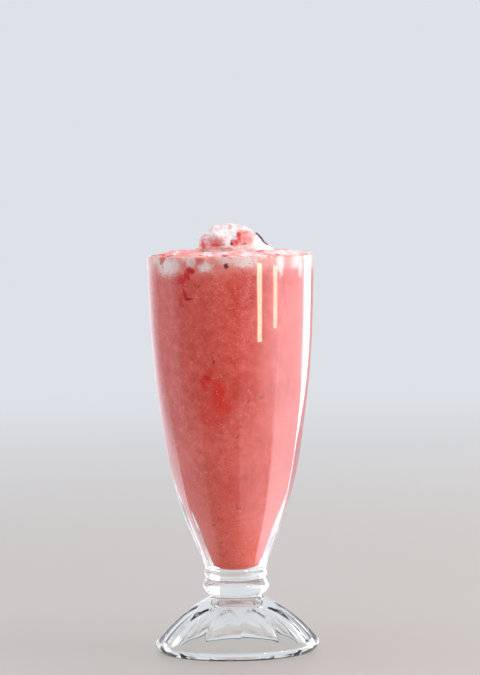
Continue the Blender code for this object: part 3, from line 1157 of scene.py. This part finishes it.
@dataclass(frozen=True)
class Softbox:
    """One upright panel of light that faces the glass's axis.

    The angle is in degrees from the camera's side towards the right, the reach in metres from the
    axis, low and high are its edges above the table, and the glow is its brightness.
    """

    name: str
    use: Light
    angle: float
    reach: float
    low: float
    high: float
    width: float
    glow: float
    colour: Triple = (1.0, 0.985, 0.96)

    def hang(self) -> None:
        """Hangs the panel."""
        turn = math.radians(self.angle)
        middle = (self.low + self.high) / 2.0
        spot = Vector((self.reach * math.sin(turn), -self.reach * math.cos(turn), middle))
        aim = Vector((0.0, 0.0, spot.z)) - spot
        pose = Matrix.Translation(spot) @ aim.to_track_quat("-Z", "Y").to_matrix().to_4x4()
        hang_panel(self.name, self.use, (self.width, self.high - self.low), self.glow, self.colour, pose)


@dataclass
class Studio:
    """The pale floor, the soft lights and the camera at the photo's viewing angle."""

    distance: float = 1.765
    height: float = 0.2638
    down: float = 3.43
    roll: float = 1.05
    pan: float = 0.134
    focal_pixels: float = 3517.0
    picture_height: int = 675
    floor_radius: float = 9.0
    backdrop: Colour = tone(222, 225, 231)
    ground: Colour = tone(188, 180, 173)
    haze: Colour = tone(225, 229, 236)
    # How bright the soft light is towards the horizon and straight above
    horizon: float = 0.24
    zenith: float = 2.3
    # Where the floor fades into the backdrop, and where the pool of light painted on it for the glass's
    # reflections ends, in metres from the axis
    fade: Point = (0.3, 1.8)
    pool: Point = (0.12, 0.6)
    # Colour of the painted pool of light
    pool_light: Colour = (0.5, 0.49, 0.48, 1.0)
    bounce_size: Point = (1.2, 0.9)
    bounce_glow: float = 0.3
    bounce_colour: Triple = (1.0, 0.92, 0.87)
    bounce_spot: Triple = (0.1, -0.5, 0.001)
    paths: int = 16
    warm: Triple = (1.0, 0.84, 0.55)
    lamps: tuple[Softbox, ...] = (
        Softbox("window", Light.SHADING, 70.0, 1.1, 0.05, 1.0, 0.9, 2.8),
        Softbox("window_back", Light.SHADING, 142.0, 1.2, 0.05, 0.9, 0.8, 1.4),
        Softbox("room_left", Light.SHADING, -120.0, 1.4, 0.05, 0.9, 0.9, 0.8, (0.95, 0.975, 1.0)),
        Softbox("pane_right", Light.SEEN_THROUGH, 146.0, 1.2, 0.0, 0.4, 0.5, 2.0),
        Softbox("pane_left", Light.SEEN_THROUGH, -132.0, 1.2, 0.0, 0.4, 0.45, 1.8),
    )
    # Two mirrored strips, each a wide soft layer under a narrow one, with a layer's width and share of glow
    strips: tuple[Softbox, ...] = (
        Softbox("strip_one", Light.REFLECTION, 39.0, 0.6, 0.055, 0.15, 1.0, 44.0, warm),
        Softbox("strip_two", Light.REFLECTION, 62.5, 0.6, 0.084, 0.15, 0.95, 32.0, warm),
    )
    strip_layers: tuple[Point, ...] = ((0.07, 0.4), (0.04, 0.6))
    # How bright the room is that the wall mirrors, by the angle in degrees from the front to the right
    room: tuple[Point, ...] = (
        (-180.0, 1.0), (-150.0, 1.6), (-122.0, 0.95), (-96.0, 1.5), (-87.0, 1.5), (-77.0, 0.75),
        (-52.0, 0.42), (-34.0, 0.25), (-10.0, 0.15), (5.0, 0.2), (15.0, 0.75), (33.0, 1.3), (50.0, 3.0),
        (70.0, 5.2), (92.0, 4.6), (112.0, 3.6), (120.0, 3.6), (124.0, 8.0), (144.0, 8.0), (151.0, 0.8),
        (166.0, 0.6), (180.0, 1.0),
    )

    def mirrored(self, desk: Desk, direction: Socket) -> Socket:
        """Returns how bright the mirrored room is in a direction.

        Args:
            desk: the desk of the world or of the floor.
            direction: a direction from the glass.

        Returns:
            The brightness, by the direction's angle round the glass.
        """
        ahead = desk.sum("MULTIPLY", desk.axis(direction, "Y"), -1.0)
        angle = desk.sum("ARCTAN2", desk.axis(direction, "X"), ahead)
        ramp = desk.put("ShaderNodeValToRGB", {0: desk.sum("MULTIPLY_ADD", angle, 0.5 / math.pi, 0.5)})
        stops = ramp.color_ramp.elements
        for angle_stop, bright in self.room:
            stop = stops.new((angle_stop + 180.0) / 360.0)
            stop.color = (bright * 0.98, bright, bright * 1.1, 1.0)
        stops.remove(stops[0])
        stops.remove(stops[len(stops) - 1])
        return ramp.outputs["Color"]

    def floor(self) -> None:
        """Lays the floor, which fades into the backdrop far away, and which the glass mirrors as a painted
        glow: the room's brightness with a painted pool of light round the glass.
        """
        made = bmesh.new()
        bmesh.ops.create_circle(made, cap_ends=True, segments=96, radius=self.floor_radius)
        finish, desk = blank_material("pale_floor")
        where = desk.where()
        far = desk.length(where)
        near = desk.shader("BsdfPrincipled", {"Base Color": self.ground, "Roughness": 0.5})
        glow = desk.shader("Emission", {"Color": self.backdrop, "Strength": 1.0})
        plain = desk.blend(desk.span(far, *self.fade), near, glow)
        # Painted reflection: for rays that the glass mirrors, the near floor is swapped for a glow of the
        # room's brightness with a painted pool of light round the glass
        pool = desk.span(far, *self.pool, 1.0, 0.0)
        painted_pool_glow = desk.mix(pool, self.mirrored(desk, where), self.pool_light, "ADD")
        room = desk.shader("Emission", {"Color": painted_pool_glow, "Strength": 1.0})
        path = desk.put("ShaderNodeLightPath").outputs
        seen_through = desk.sum("SUBTRACT", 1.0, path["Is Transmission Ray"])
        in_wall = desk.sum("MULTIPLY", path["Is Glossy Ray"], seen_through)
        in_wall = desk.sum("MULTIPLY", in_wall, desk.span(far, 0.05, 0.1))
        desk.put("ShaderNodeOutputMaterial", {0: desk.blend(in_wall, plain, room)})
        to_object(made, "floor", finish, smooth=False)

    def world(self) -> None:
        """Sets the soft light from all round and the plain backdrop."""
        sky = bpy.data.worlds.new("studio")
        sky.use_nodes = True
        sky.node_tree.nodes.clear()
        desk = Desk(sky.node_tree)
        path = desk.put("ShaderNodeLightPath").outputs
        direction = desk.put("ShaderNodeTexCoord").outputs["Generated"]
        above = desk.axis(direction, "Z")
        mirrored = desk.mix(desk.span(above, 0.15, 0.45), self.mirrored(desk, direction), self.backdrop)
        room = desk.shader("Background", {"Color": mirrored, "Strength": 1.0})
        fill = desk.span(above, 0.5, 0.92, self.horizon, self.zenith)
        soft = desk.shader("Background", {"Color": self.haze, "Strength": fill})
        seen = desk.shader("Background", {"Color": self.backdrop, "Strength": 1.0})
        first = desk.blend(path["Is Glossy Ray"], soft, room)
        direct = desk.sum("MAXIMUM", path["Is Camera Ray"], path["Is Transmission Ray"])
        desk.put("ShaderNodeOutputWorld", {0: desk.blend(direct, first, seen)})
        bpy.context.scene.world = sky

    def bounce(self) -> None:
        """Lays a card on the table in front, out of view, that lights the lower bowl from below."""
        pose = Matrix.Translation(self.bounce_spot) @ Matrix.Rotation(math.pi, 4, "X")
        size, glow, colour = self.bounce_size, self.bounce_glow, self.bounce_colour
        hang_panel("table_bounce", Light.SHADING, size, glow, colour, pose)

    def camera(self) -> None:
        """Sets up the camera of the photo."""
        lens = bpy.data.cameras.new("camera")
        lens.sensor_fit = "VERTICAL"
        lens.sensor_height = 24.0
        lens.lens = self.focal_pixels * lens.sensor_height / self.picture_height
        lens.clip_start = 0.05
        lens.clip_end = 50.0
        camera = bpy.data.objects.new("camera", lens)
        tilt = Matrix.Rotation(math.radians(90.0 - self.down), 4, "X")
        pan = Matrix.Rotation(math.radians(-self.pan), 4, "Z")
        roll = Matrix.Rotation(math.radians(-self.roll), 4, "Z")
        camera.matrix_world = Matrix.Translation((0.0, -self.distance, self.height)) @ pan @ tilt @ roll
        bpy.context.scene.collection.objects.link(camera)
        bpy.context.scene.camera = camera

    def build(self) -> None:
        """Builds the whole studio."""
        self.floor()
        self.world()
        for lamp in self.lamps:
            lamp.hang()
        for width, share in self.strip_layers:
            for strip in self.strips:
                replace(strip, width=strip.width * width, glow=strip.glow * share).hang()
        self.bounce()
        self.camera()
        scene = bpy.context.scene
        scene.view_settings.view_transform = "Standard"
        scene.view_settings.look = "None"
        scene.cycles.caustics_refractive = False
        scene.cycles.caustics_reflective = False
        scene.cycles.max_bounces = self.paths
        scene.cycles.transmission_bounces = self.paths
        scene.cycles.transparent_max_bounces = self.paths


def main() -> None:
    """Builds every piece in order."""
    logging.basicConfig(level=logging.INFO, format="%(name)s: %(message)s")
    Studio().build()
    effects = Effects()
    Goblet().build()
    Drink().build(effects)
    Froth().build(effects)
    scoop = Scoop()
    scoop.build(effects)
    Leaf().build(scoop)


if __name__ == "__main__":
    main()
